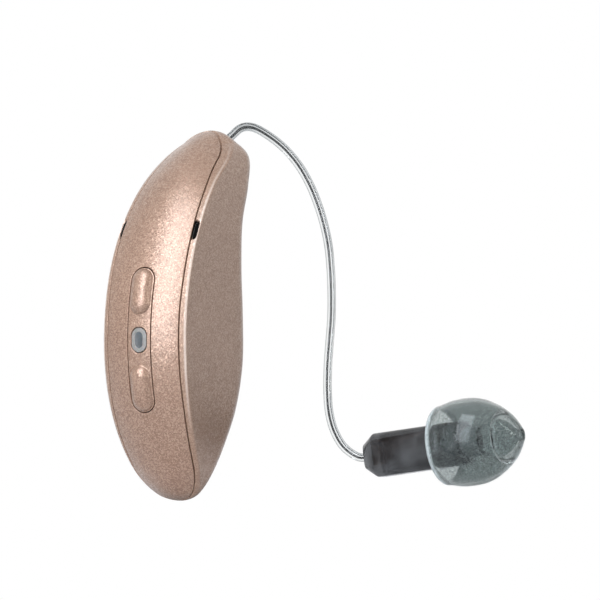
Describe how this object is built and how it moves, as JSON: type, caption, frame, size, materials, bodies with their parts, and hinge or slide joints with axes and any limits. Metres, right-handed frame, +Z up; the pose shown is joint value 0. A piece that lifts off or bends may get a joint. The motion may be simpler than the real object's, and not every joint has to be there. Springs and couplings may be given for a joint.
{
  "type": "behind the ear hearing aid",
  "caption": "Receiver-in-canal hearing aid: crescent body worn behind the ear with a rocker button, a clear lead and a small ear-canal receiver in a soft dome.",
  "frame": {"origin": "middle of the ear saddle, the hollow of the front face that rests on the root of the ear", "axes": "+Z up as worn, +X forward out of the saddle, +Y to the wearer's left; the lead and receiver bend to -Y, towards the ear canal"},
  "size_m": [0.0279, 0.0272, 0.0317],
  "materials": {
    "housing_paint": "rose-beige metallic flake lacquer on moulded plastic",
    "cover_paint": "champagne metallic flake lacquer on moulded plastic",
    "rocker_paint": "champagne metallic flake lacquer on moulded plastic",
    "window_plastic": "polished translucent plastic",
    "screen_mesh": "fine woven screen",
    "pin_steel": "drawn steel wire",
    "board_laminate": "solder-masked glass laminate",
    "switch_metal": "stamped cover",
    "membrane_rubber": "moulded silicone",
    "light_resin": "clear resin",
    "chassis_plastic": "moulded, fine texture",
    "cell_can": "drawn and polished can",
    "tab_nickel": "rolled nickel strip",
    "coil_copper": "wound enamelled copper wire",
    "chip_resin": "moulded epoxy",
    "antenna_copper": "etched copper on film",
    "microphone_can": "plated can",
    "boot_rubber": "moulded rubber",
    "socket_plastic": "moulded",
    "contact_gold": "gold plated",
    "plug_plastic": "moulded",
    "lead_clear": "clear extruded tube",
    "case_smoke": "smoke-grey translucent moulding",
    "driver_steel": "drawn steel can",
    "spout_smoke": "smoke-grey moulding",
    "guard_plastic": "moulded",
    "dome_silicone": "soft translucent silicone"
  },
  "bodies": {
    "aid": {"housing_shell": "housing_paint", "spine_cover": "cover_paint", "inlet_screens": "screen_mesh", "rocker_pins": "pin_steel", "button_board": "board_laminate", "upper_switch": "switch_metal", "lower_switch": "switch_metal", "switch_membrane": "membrane_rubber", "status_light": "light_resin", "chassis": "chassis_plastic", "battery_cell": "cell_can", "battery_tabs": "tab_nickel", "charging_coil": "coil_copper", "main_board": "board_laminate", "processor_chip": "chip_resin", "radio_chip": "chip_resin", "power_chip": "chip_resin", "antenna_strip": "antenna_copper", "lower_microphone": "microphone_can", "upper_microphone": "microphone_can", "lower_boot": "boot_rubber", "upper_boot": "boot_rubber", "receiver_socket": "socket_plastic", "socket_contacts": "contact_gold"},
    "rocker": {"rocker_button": "rocker_paint", "light_window": "window_plastic"},
    "lead": {"lead_plug": "plug_plastic", "lead_tube": "lead_clear", "receiver_case": "case_smoke", "receiver_driver": "driver_steel", "receiver_spout": "spout_smoke"},
    "dome": {"ear_dome": "dome_silicone"},
    "guard": {"wax_guard": "guard_plastic"}
  },
  "joints": [
    {"name": "rocker_tilt", "type": "hinge", "parent": "aid", "child": "rocker", "pos_m": [-0.01, 0, 0], "axis": [0, 1, 0], "range_deg": [-3, 3], "stiffness_Nm_per_rad": 0.05},
    {"name": "lead_plug_slide", "type": "slide", "parent": "aid", "child": "lead", "axis": [0.788, 0, 0.6157], "range_m": [0, 0.0045]},
    {"name": "dome_slide", "type": "slide", "parent": "lead", "child": "dome", "axis": [0.05, -0.9904, 0.129], "range_m": [0, 0.006]},
    {"name": "guard_slide", "type": "slide", "parent": "lead", "child": "guard", "axis": [0.05, -0.9904, 0.129], "range_m": [0, 0.0015]}
  ]
}
